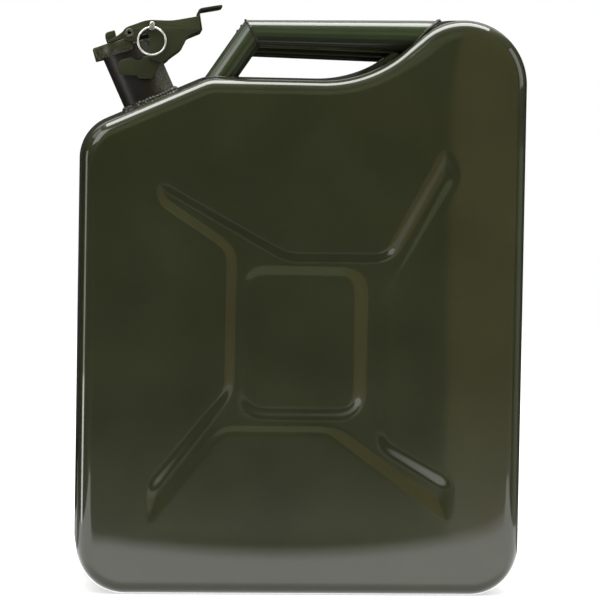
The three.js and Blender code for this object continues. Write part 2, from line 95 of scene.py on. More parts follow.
# ---- mesh helpers ----
def linked(name, data):
    """A new object in the scene round a mesh, curve, light or camera."""
    obj = bpy.data.objects.new(name, data)
    bpy.context.scene.collection.objects.link(obj)
    return obj


def smoothed(mesh, angle):
    """The mesh shaded smooth except at edges sharper than angle degrees."""
    mesh.shade_smooth()
    mesh.set_sharp_from_angle(angle=math.radians(angle))
    return mesh


def weld_points(mesh, distance):
    """Merges the vertices within distance of each other and turns the faces outwards."""
    work = bmesh.new()
    work.from_mesh(mesh)
    bmesh.ops.remove_doubles(work, verts=work.verts, dist=distance)
    bmesh.ops.recalc_face_normals(work, faces=work.faces)
    work.to_mesh(mesh)
    work.free()


def to_mesh(name, work):
    """A mesh from a bmesh, which is freed."""
    mesh = bpy.data.meshes.new(name)
    work.to_mesh(mesh)
    work.free()
    return mesh


def shown_mesh(obj):
    """The mesh that an object shows once its modifiers or curve settings are worked out."""
    bpy.context.view_layer.update()
    return bpy.data.meshes.new_from_object(obj.evaluated_get(bpy.context.evaluated_depsgraph_get()))


def to_object(name, verts_mm, faces, smooth_angle):
    """A mesh object from vertices in millimetres, smooth except at edges sharper than smooth_angle."""
    mesh = bpy.data.meshes.new(name)
    mesh.from_pydata([tuple(v) for v in np.asarray(verts_mm, float) * MM], [], [list(f) for f in faces])
    mesh.validate()
    weld_points(mesh, 1e-7)
    return linked(name, smoothed(mesh, smooth_angle))


def loft_faces(rings, count, closed_rings=False, caps=True):
    """Quads between consecutive rings of count points, with flat caps on an open loft."""
    faces = []
    last = rings if closed_rings else rings - 1
    for r in range(last):
        a, b = r * count, ((r + 1) % rings) * count
        faces += [(a + i, a + (i + 1) % count, b + (i + 1) % count, b + i) for i in range(count)]
    if caps and not closed_rings:
        faces.append(tuple(range(count - 1, -1, -1)))
        faces.append(tuple((rings - 1) * count + i for i in range(count)))
    return faces


def loft(name, rings, closed_rings=False, smooth_angle=40):
    rings = np.asarray(rings, float)
    faces = loft_faces(len(rings), rings.shape[1], closed_rings)
    return to_object(name, rings.reshape(-1, 3), faces, smooth_angle)


def full_turn(count):
    """Evenly spaced angles once round a circle."""
    return np.linspace(0, 2 * math.pi, count, endpoint=False)


def unit(vectors):
    """Vectors, one or a row each, scaled to length one."""
    return vectors / (np.linalg.norm(vectors, axis=-1, keepdims=True) + 1e-12)


def round_points(turn, across, up, radius):
    """Points of a circle at the angles in turn, in the plane of the two axes given."""
    return radius * (np.outer(np.cos(turn), across) + np.outer(np.sin(turn), up))


def frame_matrix(origin, tilt_deg):
    """A frame leaning towards -X by tilt_deg, in millimetres."""
    return Matrix.Translation(origin) @ Matrix.Rotation(math.radians(-tilt_deg), 4, "Y")


def place(points, matrix):
    rotation = np.array(matrix.to_3x3())
    return np.asarray(points, float) @ rotation.T + np.array(matrix.translation)


def rounded_profile(points, radius, steps):
    """Closed 2-D corners softened by short curves; each corner may carry its own radius."""
    points = [tuple(p) if len(p) == 3 else (*p, radius) for p in points]
    out = []
    for i, (x, y, r) in enumerate(points):
        corner = np.array((x, y))
        before = np.array(points[i - 1][:2]) - corner
        after = np.array(points[(i + 1) % len(points)][:2]) - corner
        start, end = (corner + unit(side) * min(r, 0.49 * np.linalg.norm(side)) for side in (before, after))
        for t in np.linspace(0, 1, steps + 1):
            out.append((1 - t) ** 2 * start + 2 * t * (1 - t) * corner + t ** 2 * end)
    return np.array(out)


def lathe(name, profile, matrix, segments, radius=0.3):
    """A turned piece: profile is a closed outline of (radius, height) with softened corners."""
    rings = []
    across, height = rounded_profile(profile, radius, 3).T
    for angle in full_turn(segments):
        ring = np.column_stack((across * math.cos(angle), across * math.sin(angle), height))
        rings.append(place(ring, matrix))
    return loft(name, rings, closed_rings=True)


def plate(name, outline, y0, y1, holes, edge):
    """A sheet-metal plate across Y from an XZ outline, with round holes and softened edges."""
    curve = bpy.data.curves.new(name, "CURVE")
    curve.dimensions = "2D"
    curve.fill_mode = "BOTH"
    curve.extrude = (abs(y1 - y0) / 2 - edge) * MM
    curve.bevel_depth = edge * MM
    curve.bevel_resolution = 2
    curve.offset = -edge * MM
    loops = [np.asarray(outline, float)]
    for x, z, r in holes:
        turn = np.linspace(0, -2 * math.pi, 40, endpoint=False)
        loops.append(np.column_stack((x + r * np.cos(turn), z + r * np.sin(turn))))
    for loop in loops:
        spline = curve.splines.new("POLY")
        spline.points.add(len(loop) - 1)
        for point, (x, z) in zip(spline.points, loop):
            point.co = (x * MM, z * MM, 0, 1)
        spline.use_cyclic_u = True
    source = linked(name + "_outline", curve)
    mesh = shown_mesh(source)
    bpy.data.objects.remove(source)
    bpy.data.curves.remove(curve)
    stand = Matrix.Translation((0, (y0 + y1) / 2 * MM, 0)) @ Matrix.Rotation(math.pi / 2, 4, "X")
    mesh.transform(stand)
    weld_points(mesh, 2e-6)
    return linked(name, smoothed(mesh, 50))


def join(name, objects):
    """One object from several closed meshes."""
    together = bmesh.new()
    for obj in objects:
        together.from_mesh(obj.data)
        bpy.data.objects.remove(obj)
    return linked(name, smoothed(to_mesh(name, together), 45))


def mirrored(obj, name):
    """A copy turned over to the far side of the can."""
    copy = bmesh.new()
    copy.from_mesh(obj.data)
    bmesh.ops.scale(copy, vec=(1, -1, 1), verts=copy.verts)
    bmesh.ops.reverse_faces(copy, faces=copy.faces)
    return linked(name, to_mesh(name, copy))


def finish_piece(obj, material, body, *nodes):
    """Gives a piece its material and body, and hides the CAD nodes it stands for."""
    obj.data.materials.clear()
    obj.data.materials.append(material)
    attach(obj, body)
    if nodes:
        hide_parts(*nodes)
    return obj


# ---- materials ----
class Nodes:
    """Small helper that adds and links shader nodes."""

    def __init__(self, name, slot):
        self.material = bpy.data.materials.new(name)
        self.material.use_nodes = True
        self.material["slot"] = slot
        self.tree = self.material.node_tree
        self.shader = self.tree.nodes["Principled BSDF"]
        self.place = self.add("ShaderNodeTexCoord").outputs["Object"]

    def add(self, kind, **values):
        node = self.tree.nodes.new(kind)
        for key, value in values.items():
            if key in node.inputs:
                node.inputs[key].default_value = value
            else:
                setattr(node, key, value)
        return node

    def link(self, source, target):
        self.tree.links.new(source, target)

    def noise(self, scale, detail, roughness, stretch=None):
        node = self.add("ShaderNodeTexNoise", Scale=scale, Detail=detail, Roughness=roughness)
        if stretch:
            mapping = self.add("ShaderNodeMapping")
            mapping.inputs["Scale"].default_value = stretch
            self.link(self.place, mapping.inputs["Vector"])
            self.link(mapping.outputs["Vector"], node.inputs["Vector"])
        else:
            self.link(self.place, node.inputs["Vector"])
        return node.outputs["Fac"]

    def ramp(self, value, stops):
        node = self.add("ShaderNodeValToRGB")
        ramp = node.color_ramp
        while len(ramp.elements) < len(stops):
            ramp.elements.new(0.5)
        for element, (position, color) in zip(ramp.elements, stops):
            element.position = position
            element.color = (*color, 1.0) if len(color) == 3 else color
        self.link(value, node.inputs["Fac"])
        return node.outputs["Color"]

    def grey(self, value, stops):
        return self.ramp(value, [(position, (level,) * 3) for position, level in stops])

    def mix(self, factor, a, b):
        node = self.add("ShaderNodeMix", data_type="RGBA")
        for source, index in ((factor, 0), (a, 6), (b, 7)):
            if hasattr(source, "is_linked"):
                self.link(source, node.inputs[index])
            elif index == 0:
                node.inputs[index].default_value = source
            else:
                node.inputs[index].default_value = (*source, 1.0)
        return node.outputs[2]

    def maths(self, operation, *operands):
        """A maths node; each operand is a number or another node's output."""
        node = self.add("ShaderNodeMath", operation=operation)
        for operand, socket in zip(operands, node.inputs):
            if hasattr(operand, "is_linked"):
                self.link(operand, socket)
            else:
                socket.default_value = operand
        return node.outputs[0]

    def split(self, vector):
        """The X, Y and Z outputs of a vector."""
        node = self.add("ShaderNodeSeparateXYZ")
        self.link(vector, node.inputs[0])
        return node.outputs

    def steady(self, **values):
        """Plain numbers and colours on the shader; an underscore stands for a space."""
        for name, value in values.items():
            self.shader.inputs[name.replace("_", " ")].default_value = value

    def drive(self, name, source):
        self.link(source, self.shader.inputs[name])

    def bump(self, height, strength, distance_mm, under=None):
        node = self.add("ShaderNodeBump", Strength=strength, Distance=distance_mm * MM)
        self.link(height, node.inputs["Height"])
        if under is not None:
            self.link(under, node.inputs["Normal"])
        return node.outputs["Normal"]


# Near-black brown mixed in as painted shade, in hollows and on undersides.
SHADE_DARK = (0.0045, 0.0038, 0.0028)


def enamel(name, slot, color, roughness, coat, coat_roughness, grime=0.5, peel=0.25, wear=0.0,
           dusting=0.0, underside_shade=0.0, shade_reach=6.0):
    """Sprayed enamel: orange peel, faint blotches, painted shade in hollows and on undersides, settled dust
    and thin worn edges.
    """
    n = Nodes(name, slot)
    deep = tuple(c * 0.86 for c in color)
    pale = tuple(c * 1.13 + 0.0008 for c in color)
    blotch = n.noise(14, 4, 0.55)
    tone = n.ramp(blotch, [(0.35, deep), (0.66, pale)])
    rust_brown = (color[0] * 1.25, color[1] * 0.98, color[2] * 0.72)
    patches = n.grey(n.noise(9, 2, 0.4), [(0.52, 0.0), (0.72, 0.45 * grime)])
    tone = n.mix(patches, tone, rust_brown)
    dust = n.grey(n.noise(900, 1, 0.3), [(0.70, 0.0), (0.76, 0.10 * grime)])
    tone = n.mix(dust, tone, (0.20, 0.20, 0.17))
    if wear > 0:
        edges = n.add("ShaderNodeNewGeometry").outputs["Pointiness"]
        sharp = n.grey(edges, [(0.53, 0.0), (0.60, 1.0)])
        broken = n.grey(n.noise(260, 4, 0.6), [(0.50, 0.0), (0.62, wear)])
        tone = n.mix(n.maths("MULTIPLY", sharp, broken), tone, (0.26, 0.25, 0.20))
    facing = n.split(n.add("ShaderNodeNewGeometry").outputs["Normal"])
    upward = n.maths("MULTIPLY_ADD", facing["Z"], 0.5, 0.5)
    if dusting > 0:
        settled = n.grey(upward, [(0.53, 0.0), (0.64, dusting)])
        specks = n.grey(n.noise(700, 3, 0.7), [(0.40, 0.1), (0.60, 1.0)])
        tone = n.mix(n.maths("MULTIPLY", settled, specks), tone, (0.15, 0.145, 0.105))
    # Painted shade: faces turned downwards are darkened towards near-black.
    if underside_shade > 0:
        tone = n.mix(n.grey(upward, [(0.22, underside_shade), (0.46, 0.0)]), tone, SHADE_DARK)
    # Painted shade: ambient occlusion darkens hollows, recesses and places under or between parts, out to the
    # given reach in millimetres.
    occlusion_shade = n.add("ShaderNodeAmbientOcclusion", samples=6)
    occlusion_shade.inputs["Distance"].default_value = shade_reach * MM
    tone = n.mix(n.grey(occlusion_shade.outputs["AO"], [(0.25, 0.85), (0.75, 0.0)]), tone, SHADE_DARK)
    n.drive("Base Color", tone)
    gloss = n.grey(n.noise(40, 4, 0.6), [(0.3, roughness * 0.85), (0.7, roughness * 1.18)])
    n.drive("Roughness", gloss)
    waves = n.bump(n.noise(320, 2, 0.5), peel, 0.02)
    ripple = n.bump(n.noise(38, 2, 0.5), peel, 0.05, waves)
    n.drive("Normal", ripple)
    n.drive("Coat Normal", ripple)
    n.steady(Specular_IOR_Level=0.12, Coat_Weight=coat, Coat_Roughness=coat_roughness, Coat_IOR=1.5)
    return n.material


def steel(name, slot, color, roughness, stretch, grime=0.4, metallic=1.0):
    """Bare or plated steel with fine drawn marks, tarnish and handling marks."""
    n = Nodes(name, slot)
    tarnish = n.grey(n.noise(60, 4, 0.6), [(0.42, 0.0), (0.75, grime)])
    n.drive("Base Color", n.mix(tarnish, color, tuple(c * 0.45 for c in color)))
    marks = n.noise(500, 3, 0.6, stretch)
    n.drive("Roughness", n.grey(marks, [(0.3, roughness * 0.7), (0.7, roughness * 1.4)]))
    n.drive("Normal", n.bump(marks, 0.25, 0.01))
    n.steady(Metallic=metallic)
    return n.material


def rubber(name, slot, color):
    """Black moulded rubber with a fine skin and pale bloom."""
    n = Nodes(name, slot)
    bloom = n.grey(n.noise(70, 4, 0.6), [(0.45, 0.0), (0.8, 0.35)])
    n.drive("Base Color", n.mix(bloom, color, (0.05, 0.05, 0.048)))
    n.drive("Roughness", n.grey(bloom, [(0.0, 0.62), (1.0, 0.85)]))
    n.drive("Normal", n.bump(n.noise(900, 3, 0.6), 0.4, 0.03))
    return n.material


OLIVE = (0.0171, 0.0202, 0.0048)
# The enamels' last arguments set how far the painted shade reaches into hollows, and the painted shade on the
# handles' undersides.
BODY = enamel("body_enamel", "body_paint", OLIVE, 0.42, 1.0, 0.05, grime=0.6, peel=0.10, shade_reach=2.5)
HANDLE = enamel("handle_enamel", "handle_paint", (0.0175, 0.0270, 0.0070), 0.40, 1.0, 0.15, underside_shade=0.7)
WELD = enamel("weld_enamel", "body_paint", (0.009, 0.010, 0.005), 0.5, 0.5, 0.25, grime=0.8, peel=0.8)
SPATTER = enamel("spatter_enamel", "body_paint", (0.024, 0.023, 0.014), 0.32, 1.0, 0.08, grime=1.0, peel=1.6)
NECK = enamel("neck_enamel", "neck_paint", (0.0110, 0.0082, 0.0048), 0.6, 0.5, 0.40,
              grime=1.6, peel=3.5, dusting=0.75)
HARDWARE = enamel("hardware_enamel", "handle_paint", (0.029, 0.033, 0.0125), 0.48, 0.4, 0.30,
                  grime=1.1, peel=0.5, wear=0.5, shade_reach=11)
PIVOT_STEEL = steel("pivot_steel", "bare_steel", (0.20, 0.19, 0.16), 0.34, (1, 1, 1), grime=0.6)
STEEL = steel("plain_steel", "bare_steel", (0.46, 0.45, 0.42), 0.34, (1, 1, 0.1))
BRIGHT = steel("plated_wire", "bright_steel", (0.84, 0.83, 0.80), 0.2, (1, 1, 1), grime=0.12, metallic=0.6)
PIN_STEEL = steel("plated_pin", "bright_steel", (0.72, 0.71, 0.68), 0.24, (1, 1, 1), grime=0.3, metallic=0.92)
RUBBER = rubber("gasket_rubber", "gasket_rubber", (0.012, 0.012, 0.011))

# ---- body outline ----
slope = math.radians(SHOULDER_SLOPE)
shoulder_normal = np.array((-math.sin(slope), math.cos(slope)))
shoulder_arc_x = -HALF_WIDTH + SHOULDER_R
shoulder_arc_z = (shoulder_normal @ (SHOULDER_X, FLOOR_Z) - SHOULDER_R
                  - shoulder_normal[0] * shoulder_arc_x) / shoulder_normal[1]

# Arcs in order round the can: centre x and z, radius, start and end angle, bulge (1 outwards, -1 inwards),
# steps along the arc, steps along the straight to the next arc.
ARCS = [
    (HALF_WIDTH - BASE_R, BASE_R, BASE_R, -90, 0, 1, 20, 110),
    (HALF_WIDTH - HUMP_R, HUMP_TOP - HUMP_R, HUMP_R, 0, 90 + HUMP_RISE, 1, 46, 5),
    (VALLEY_X, FLOOR_Z + VALLEY_R, VALLEY_R, HUMP_RISE - 90, -90, -1, 22, 26),
    (SHOULDER_X + SHOULDER_BREAK_R * math.tan(slope / 2), FLOOR_Z - SHOULDER_BREAK_R, SHOULDER_BREAK_R,
     90, 90 + SHOULDER_SLOPE, 1, 6, 22),
    (shoulder_arc_x, shoulder_arc_z, SHOULDER_R, 90 + SHOULDER_SLOPE, 180, 1, 18, 94),
    (BASE_R - HALF_WIDTH, BASE_R, BASE_R, 180, 270, 1, 20, 84),
]


def body_outline(inset, drop=0.0):
    """The side outline moved inwards by inset and lowered by drop, as (x, z) points."""
    arcs = []
    for cx, cz, r, start, end, bulge, steps, _ in ARCS:
        angle = np.radians(np.linspace(start, end, steps + 1))
        radius = r - bulge * inset
        arcs.append(np.column_stack((cx + radius * np.cos(angle), cz - drop + radius * np.sin(angle))))
    points = []
    for i, arc in enumerate(arcs):
        following = arcs[(i + 1) % len(arcs)][0]
        t = np.linspace(0, 1, ARCS[i][-1] + 1)[1:-1, None]
        points += [arc, arc[-1] + t * (following - arc[-1])]
    return np.vstack(points)


# ---- pressed cross ----
CROSS = [(-117, 303), (-61, 266), (-61, 160), (-121, 84), (-118, 52), (-61, 125), (22, 125), (116, 58),
         (120, 90), (66, 121), (66, 229), (121, 329), (108, 350), (63, 268), (-12, 267), (-115, 324)]
CENTRE_PANEL = [(-42, 146), (40, 146), (40, 248), (-42, 248)]


def inside_depth(loop, x, z):
    """Distance inside a closed loop, negative outside."""
    loop = np.asarray(loop, float)
    nearest = np.full(x.shape, 1e9)
    crossings = np.zeros(x.shape, int)
    for (x0, z0), (x1, z1) in zip(loop, np.roll(loop, -1, axis=0)):
        dx, dz = x1 - x0, z1 - z0
        t = np.clip(((x - x0) * dx + (z - z0) * dz) / (dx * dx + dz * dz), 0, 1)
        nearest = np.minimum(nearest, np.hypot(x - x0 - t * dx, z - z0 - t * dz))
        over = (z0 > z) != (z1 > z)
        with np.errstate(divide="ignore", invalid="ignore"):
            hit = x < x0 + (z - z0) * dx / np.where(dz == 0, 1e-12, dz)
        crossings += over & hit
    return np.where(crossings % 2 == 1, nearest, -nearest)


def smoothstep(value):
    value = np.clip(value, 0, 1)
    return value * value * (3 - 2 * value)


class Pressing:
    """Height map of the stiffening cross, blurred the way sheet bends over a die."""
    step = 1.0
    low = np.array((-150.0, 20.0))
    high = np.array((150.0, 380.0))

    def __init__(self):
        xs = np.arange(self.low[0], self.high[0] + self.step, self.step)
        zs = np.arange(self.low[1], self.high[1] + self.step, self.step)
        x, z = np.meshgrid(xs, zs)
        loop = rounded_profile(CROSS, 9, 6)
        panel = rounded_profile(CENTRE_PANEL, 13, 6)
        recess = np.minimum(inside_depth(loop, x, z), -inside_depth(panel, x, z))
        height = smoothstep(recess / PRESS_RUN)
        reach = int(4 * PRESS_SOFTNESS)
        kernel = np.exp(-0.5 * (np.arange(-reach, reach + 1) / PRESS_SOFTNESS) ** 2)
        kernel /= kernel.sum()
        for axis in (0, 1):
            height = np.apply_along_axis(np.convolve, axis, height, kernel, mode="same")
        self.height = height * PRESS_DEPTH

    def __call__(self, x, z):
        u = np.clip((x - self.low[0]) / self.step, 0, self.height.shape[1] - 1.001)
        v = np.clip((z - self.low[1]) / self.step, 0, self.height.shape[0] - 1.001)
        i, j = u.astype(int), v.astype(int)
        fu, fv = u - i, v - j
        h = self.height
        return ((h[j, i] * (1 - fu) + h[j, i + 1] * fu) * (1 - fv)
                + (h[j + 1, i] * (1 - fu) + h[j + 1, i + 1] * fu) * fv)


# ---- shells ----
FACE_CENTRE = np.array((-1.0, 205.0))
FACE_RINGS = 118
FACE_CROWN = 0.7
neck_frame = frame_matrix(
    Vector((NECK_FOOT_X, 0, FLOOR_Z - math.tan(slope) * (SHOULDER_X - NECK_FOOT_X))), NECK_TILT)
lid_frame = frame_matrix(MOUTH, LID_TILT)


def wall_stations():
    """Depth, inset and drop of the side wall, from the seam out to the face."""
    foot, lip = CHANNEL_HALF - CHANNEL_SIDE, CHANNEL_HALF + CHANNEL_SIDE
    corner = [(SEAM_HALF, CHANNEL_DEPTH + 0.6), (SEAM_HALF + 0.5, CHANNEL_DEPTH), (foot, CHANNEL_DEPTH)]
    for t in np.linspace(0, 1, 9)[1:]:
        corner.append((foot + (lip - foot) * t, CHANNEL_DEPTH * (1 - smoothstep(t))))
    rim_y = FACE_Y - FACE_CROWN - RIM_R
    rows = [(y, inset, 0.0) for y, inset in corner]
    drop = DRAFT * (rim_y - CHANNEL_HALF)
    for t in np.linspace(0, 1, 9)[1:-1]:
        rows.append((lip + t * (rim_y - lip), drop * t, drop * t))
    for angle in np.radians(np.linspace(0, 90, 13)):
        rows.append((rim_y + RIM_R * math.sin(angle), drop + RIM_R * (1 - math.cos(angle)), drop))
    return rows


def build_shell():
    """The near half: side wall from the seam to the rim, then the crowned face with its pressing."""
    rings = []
    for y, inset, drop in wall_stations():
        outline = body_outline(inset, drop)
        rings.append(np.column_stack((outline[:, 0], np.full(len(outline), -y), outline[:, 1])))
    edge = rings[-1][:, (0, 2)]
    pressing = Pressing()
    for s in 1 - np.linspace(0, 1, FACE_RINGS)[1:-1]:
        points = FACE_CENTRE + (edge - FACE_CENTRE) * s
        depth = FACE_Y - FACE_CROWN * s ** 8 - pressing(points[:, 0], points[:, 1])
        rings.append(np.column_stack((points[:, 0], -depth, points[:, 1])))
    rings = np.array(rings)
    count = rings.shape[1]
    verts = np.vstack((rings.reshape(-1, 3), [(FACE_CENTRE[0], -FACE_Y, FACE_CENTRE[1])]))
    faces = loft_faces(len(rings), count, caps=False)
    last = (len(rings) - 1) * count
    faces += [(last + i, last + (i + 1) % count, len(verts) - 1) for i in range(count)]
    shell = to_object("near_shell_pressed", verts, faces, smooth_angle=60)
    thick = shell.modifiers.new("sheet", "SOLIDIFY")
    thick.thickness = WALL * MM
    thick.offset = -1
    return shell


def drill_spout_hole(shell):
    """Open the shoulder under the spout; the cut edge ends up inside the spout's wall."""
    radius = (NECK_R + NECK_BORE_R) / 2
    cutter = lathe("spout_cutter", [(0, -14), (radius, -14), (radius, 20), (0, 20)], neck_frame, 96, 0)
    cut = shell.modifiers.new("hole", "BOOLEAN")
    cut.operation = "DIFFERENCE"
    cut.solver = "EXACT"
    cut.object = cutter
    drilled = shown_mesh(shell)
    shell.modifiers.clear()
    shell.data = drilled
    bpy.data.objects.remove(cutter)


def add_shells():
    near = build_shell()
    bvh = BVHTree.FromObject(near, bpy.context.evaluated_depsgraph_get())
    drill_spout_hole(near)
    far = mirrored(near, "far_shell_pressed")
    finish_piece(near, BODY, "can", "near_shell")
    finish_piece(far, BODY, "can", "far_shell")
    return bvh


surface = add_shells()

# ---- seam bead ----
NECK_CLEAR = NECK_R + 0.6
SEAM_STEP = 0.9
SEAM_PITCH = 3.1
SEAM_RIPPLE = 0.16
SEAM_WANDER = 0.07
BEAD_HALF = [(0.4, 4.15), (0.9, 4.5), (1.3, 5.3), (1.5, 7.0)]
BEAD_SECTION = [(-y, inset) for y, inset in reversed(BEAD_HALF)] + BEAD_HALF


def in_neck_bore(x, z):
    """True where a point of the seam plane lies inside the spout."""
    local = neck_frame.inverted() @ Vector((x, 0, z))
    return abs(local.x) < NECK_CLEAR and local.z > -30


def resample(points, spacing, closed=True):
    """A path walked at an even spacing."""
    loop = np.vstack((points, points[:1])) if closed else points
    length = np.concatenate(([0], np.cumsum(np.linalg.norm(np.diff(loop, axis=0), axis=1))))
    steps = int(length[-1] / spacing)
    marks = np.linspace(0, length[-1], steps if closed else steps + 1, endpoint=not closed)
    return np.column_stack([np.interp(marks, length, loop[:, k]) for k in range(loop.shape[1])])


def add_seam():
    """The welded bead at the bottom of the channel, all round the can but for the spout."""
    path = resample(body_outline(0.0), SEAM_STEP)
    count = len(path)
    ahead = unit(np.roll(path, -2, axis=0) - np.roll(path, 2, axis=0))
    inward = np.column_stack((-ahead[:, 1], ahead[:, 0]))
    blocked = np.array([in_neck_bore(x - CHANNEL_DEPTH * n[0], z) for (x, z), n in zip(path, inward)])
    start = int(np.flatnonzero(blocked)[-1]) + 1
    order = [i % count for i in range(start, start + count) if not blocked[i % count]]
    wander = rng.normal(0, SEAM_WANDER, count)
    rings = []
    for i in order:
        ripple = SEAM_RIPPLE * math.sin(i * SEAM_STEP * 2 * math.pi / SEAM_PITCH) + wander[i]
        ring = []
        for y, inset in BEAD_SECTION:
            lift = ripple if inset < CHANNEL_DEPTH else 0.0
            x, z = path[i] + inward[i] * (inset + lift)
            ring.append((x, y, z))
        rings.append(ring)
    bead = loft("seam_weld_bead", rings)
    finish_piece(bead, WELD, "can", "seam_weld")


add_seam()

# ---- handles ----
TUBE_POINTS = 56
TUBE_RINGS = 30
GRIP_LENGTH = 145.0
ELBOW_OVERRUN = 12.0
FLARE_R = 13.2
SINK = 2.2
MITRE_GAP = 0.1


def hit_surface(start, direction):
    """Distance from a point, along a direction, to the near shell (or its mirror image)."""
    side = -1 if start[1] > 0 else 1
    origin = Vector((start[0], start[1] * side, start[2])) * MM
    heading = Vector((direction[0], direction[1] * side, direction[2]))
    hit = surface.ray_cast(origin, heading, 0.3)
    return None if hit[0] is None else hit[3] / MM


def tube_from_elbow(name, start_points, direction, reach, flare=None):
    """A tube from the mitre to just inside the shell, and the line on which it enters the shell."""
    direction = np.array(direction)
    hits = [hit_surface(point, direction) for point in start_points]
    lengths = np.array([reach if distance is None else distance for distance in hits])
    middle = start_points.mean(axis=0)

    def ring_at(distances):
        ring = start_points + distances[:, None] * direction
        if flare is None:
            return ring
        axis_points = middle + ((ring - middle) @ direction)[:, None] * direction
        return axis_points + (ring - axis_points) * flare(ring[:, 0])[:, None]

    rings = [ring_at((lengths + SINK) * t) for t in np.linspace(0, 1, TUBE_RINGS)]
    return loft(name, rings, smooth_angle=50), ring_at(lengths)


def bead_along(name, path, radius, ripple=0.28, pitch=2.4):
    """A hand-laid weld bead along a closed path."""
    spacing = 0.7
    path = resample(path, spacing)
    count = len(path)
    ahead = unit(np.roll(path, -1, axis=0) - np.roll(path, 1, axis=0))
    rings = []
    turn = full_turn(12)
    wander = np.convolve(rng.normal(0, 1, count + 8), np.ones(9) / 9, mode="valid")[:count]
    for i in range(count):
        side = unit(np.cross(ahead[i], (0, 0, 1)))
        over = np.cross(side, ahead[i])
        swell = ripple * abs(math.sin(i * spacing * math.pi / pitch)) + 0.5 * wander[i]
        rings.append(path[i] + round_points(turn, side, over, radius * (1 + swell)))
    return loft(name, rings, closed_rings=True, smooth_angle=60)


def elbow_ring(y, outwards):
    """Points of the tube surface on the mitre plane at the elbow."""
    lean = math.radians(LEG_LEAN)
    turn = full_turn(TUBE_POINTS)
    up = TUBE_R * np.sin(turn)
    across = TUBE_R * np.cos(turn)
    shift = -up * math.tan(lean / 2)
    return np.column_stack((ELBOW_X + outwards + shift, y + across, GRIP_Z + up))


def flare_factor(x):
    """How much wider the grip is at x than at the elbow."""
    growth = (FLARE_R - TUBE_R) / TUBE_R
    return 1 + growth * np.clip((x - ELBOW_X + ELBOW_OVERRUN) / GRIP_LENGTH, 0, 1)


def add_handles():
    """Three tubes, each a mitred leg and grip, with weld beads at the mitre, the foot and the root."""
    lean = math.radians(LEG_LEAN)
    down = (-math.cos(lean), 0.0, -math.sin(lean))
    for where, y in HANDLE_Y.items():
        grip, grip_line = tube_from_elbow(f"handle_grip_{where}_tube", elbow_ring(y, MITRE_GAP),
                                          (1, 0, 0), 120, flare_factor)
        leg, leg_line = tube_from_elbow(f"handle_leg_{where}_tube", elbow_ring(y, -MITRE_GAP), down, 60)
        finish_piece(grip, HANDLE, "can", f"handle_grip_{where}")
        finish_piece(leg, HANDLE, "can", f"handle_leg_{where}")
        for spot, line, radius in (("mitre", elbow_ring(y, 0), 0.75), ("foot", leg_line, 1.2),
                                   ("root", grip_line, 1.1)):
            finish_piece(bead_along(f"handle_{spot}_weld_{where}", line, radius), WELD, "can")


add_handles()

# ---- spout ----
NECK_BELOW = 9.0
NECK_SIDES = 128
MOUTH_FOOT = -3.2
COLLAR_R = 23.0
COLLAR_POINTS = 160
COLLAR_REACH = 45.0


def neck_top(radius, turn):
    """Height in the spout's own frame where its wall meets the mouth plane."""
    to_lid = lid_frame.inverted() @ neck_frame
    x, y = radius * math.cos(turn), radius * math.sin(turn)
    foot = to_lid @ Vector((x, y, 0))
    rise = (to_lid.to_3x3() @ Vector((0, 0, 1))).z
    return (MOUTH_FOOT - foot.z) / rise


def collar_line():
    """Where the spout meets the shoulder; a point over the seam takes its nearest neighbour's place."""
    up = np.array(neck_frame.to_3x3() @ Vector((0, 0, 1)))
    found = {}
    for i, turn in enumerate(full_turn(COLLAR_POINTS)):
        top = np.array(neck_frame @ Vector((COLLAR_R * math.cos(turn), COLLAR_R * math.sin(turn), 25)))
        distance = hit_surface(top, -up)
        if distance is not None and distance <= COLLAR_REACH:
            found[i] = top - distance * up

    def gap(i, k):
        return min(abs(k - i), COLLAR_POINTS - abs(k - i))

    return np.array([found[min(found, key=lambda k: gap(i, k))] for i in range(COLLAR_POINTS)])


def add_spout():
    rings = []
    for turn in full_turn(NECK_SIDES):
        outer_top = neck_top(NECK_R, turn)
        inner_top = neck_top(NECK_BORE_R, turn)
        profile = [(NECK_BORE_R, -NECK_BELOW), (NECK_R, -NECK_BELOW)]
        profile += [(NECK_R, z) for z in np.linspace(-NECK_BELOW + 1, outer_top - 0.3, 30)]
        profile += [(NECK_R - 0.3, outer_top), (NECK_BORE_R + 0.3, inner_top), (NECK_BORE_R, inner_top - 0.3)]
        ring = [(r * math.cos(turn), r * math.sin(turn), z) for r, z in profile]
        rings.append(place(ring, neck_frame))
    finish_piece(loft("spout_tube", rings, closed_rings=True), NECK, "can", "neck_tube")
    seat = [(19.4, -3), (21.1, -3), (21.1, -1.5, 0.6), (20.6, -1, 0.5), (20, -1, 0.5), (19.4, -1.5, 0.6)]
    finish_piece(lathe("mouth_seat_ring", seat, lid_frame, 128, 0.15), STEEL, "can", "mouth_ring")

    weld = bead_along("spout_base_bead", collar_line(), 1.9, ripple=0.35, pitch=2.8)
    finish_piece(weld, SPATTER, "can", "neck_base_weld")
    tube_path = catmull([(12.4, 38), (12.4, 14), (12.6, -11)],
                        [(-86, 378), (-50, 386), (10, 389), (62, 400), (98, 423), (116, 440)])
    finish_piece(pipe("vent_tube", tube_path, 4.5, 3.3), STEEL, "can", "air_tube")


def catmull(spout_points, can_points):
    """A smooth path through points given across and along the spout, then as (x, z) in the can."""
    knots = [np.array(neck_frame @ Vector((a, 0, b))) for a, b in spout_points]
    knots += [np.array((x, 0.0, z)) for x, z in can_points]
    knots = [2 * knots[0] - knots[1], *knots, 2 * knots[-1] - knots[-2]]
    path = []
    for k in range(1, len(knots) - 2):
        p0, p1, p2, p3 = knots[k - 1:k + 3]
        for t in np.linspace(0, 1, 16, endpoint=False):
            path.append(0.5 * (2 * p1 + (p2 - p0) * t + (2 * p0 - 5 * p1 + 4 * p2 - p3) * t ** 2
                               + (3 * p1 - p0 - 3 * p2 + p3) * t ** 3))
    path.append(knots[-2])
    return np.array(path)


